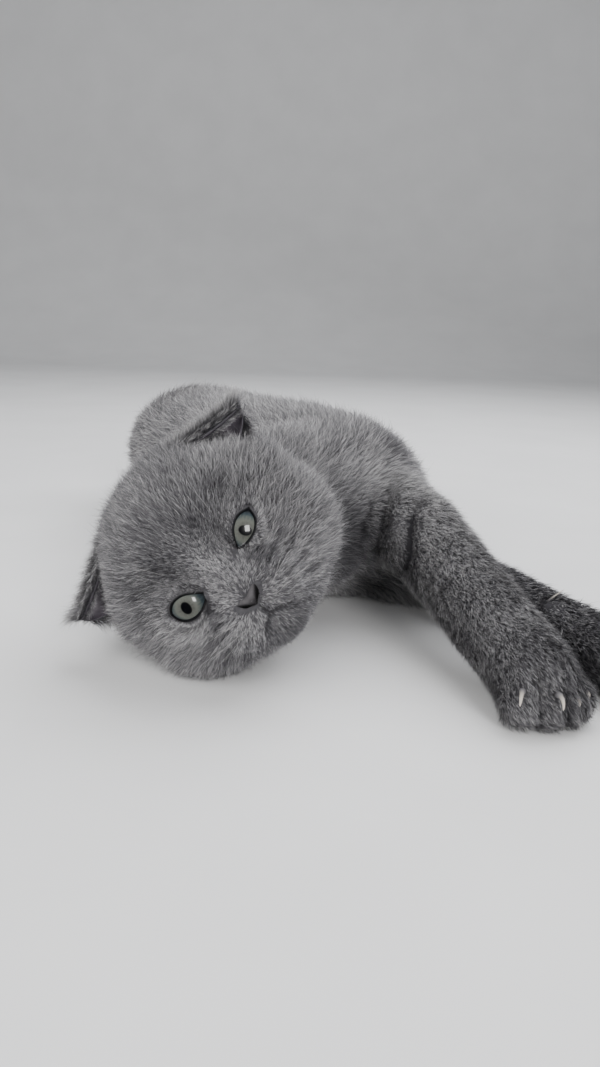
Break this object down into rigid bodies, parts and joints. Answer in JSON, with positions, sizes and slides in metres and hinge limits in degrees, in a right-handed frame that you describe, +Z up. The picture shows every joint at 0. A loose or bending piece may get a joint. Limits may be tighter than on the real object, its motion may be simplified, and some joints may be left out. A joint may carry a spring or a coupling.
{
  "type": "scottish fold kitten, life-size still model",
  "caption": "Blue-grey Scottish Fold kitten lying on its side with folded ears and both forelegs stretched out, as a still life-size model.",
  "frame": {"origin": "floor point under the middle of the kitten's bounding box", "axes": "+Z up from the floor, -Y the way the face looks, +X towards the stretched forelegs' side, which is the belly's side"},
  "size_m": [0.202, 0.3444, 0.0763],
  "materials": {
    "coat": "dense plush blue-grey fur with paler hair tips",
    "eye": "wet, clear, grey-green iris round a dark pupil",
    "nose_leather": "finely pebbled, slightly moist dark grey skin",
    "claw": "smooth translucent ivory horn"
  },
  "bodies": {
    "root": {"head": "coat", "neck": "coat", "trunk": "coat", "tail": "coat", "ear_left": "coat", "ear_right": "coat", "left_upper_foreleg": "coat", "left_lower_foreleg": "coat", "left_forepaw": "coat", "right_upper_foreleg": "coat", "right_lower_foreleg": "coat", "right_forepaw": "coat", "left_thigh": "coat", "left_shank": "coat", "left_hindpaw": "coat", "right_thigh": "coat", "right_shank": "coat", "right_hindpaw": "coat", "eye_left": "eye", "eye_right": "eye", "nose": "nose_leather", "claw_left_fore_1": "claw", "claw_left_fore_2": "claw", "claw_left_fore_3": "claw", "claw_left_fore_4": "claw", "claw_right_fore_1": "claw", "claw_right_fore_2": "claw", "claw_right_fore_3": "claw", "claw_right_fore_4": "claw", "claw_right_dew": "claw"}
  },
  "joints": []
}
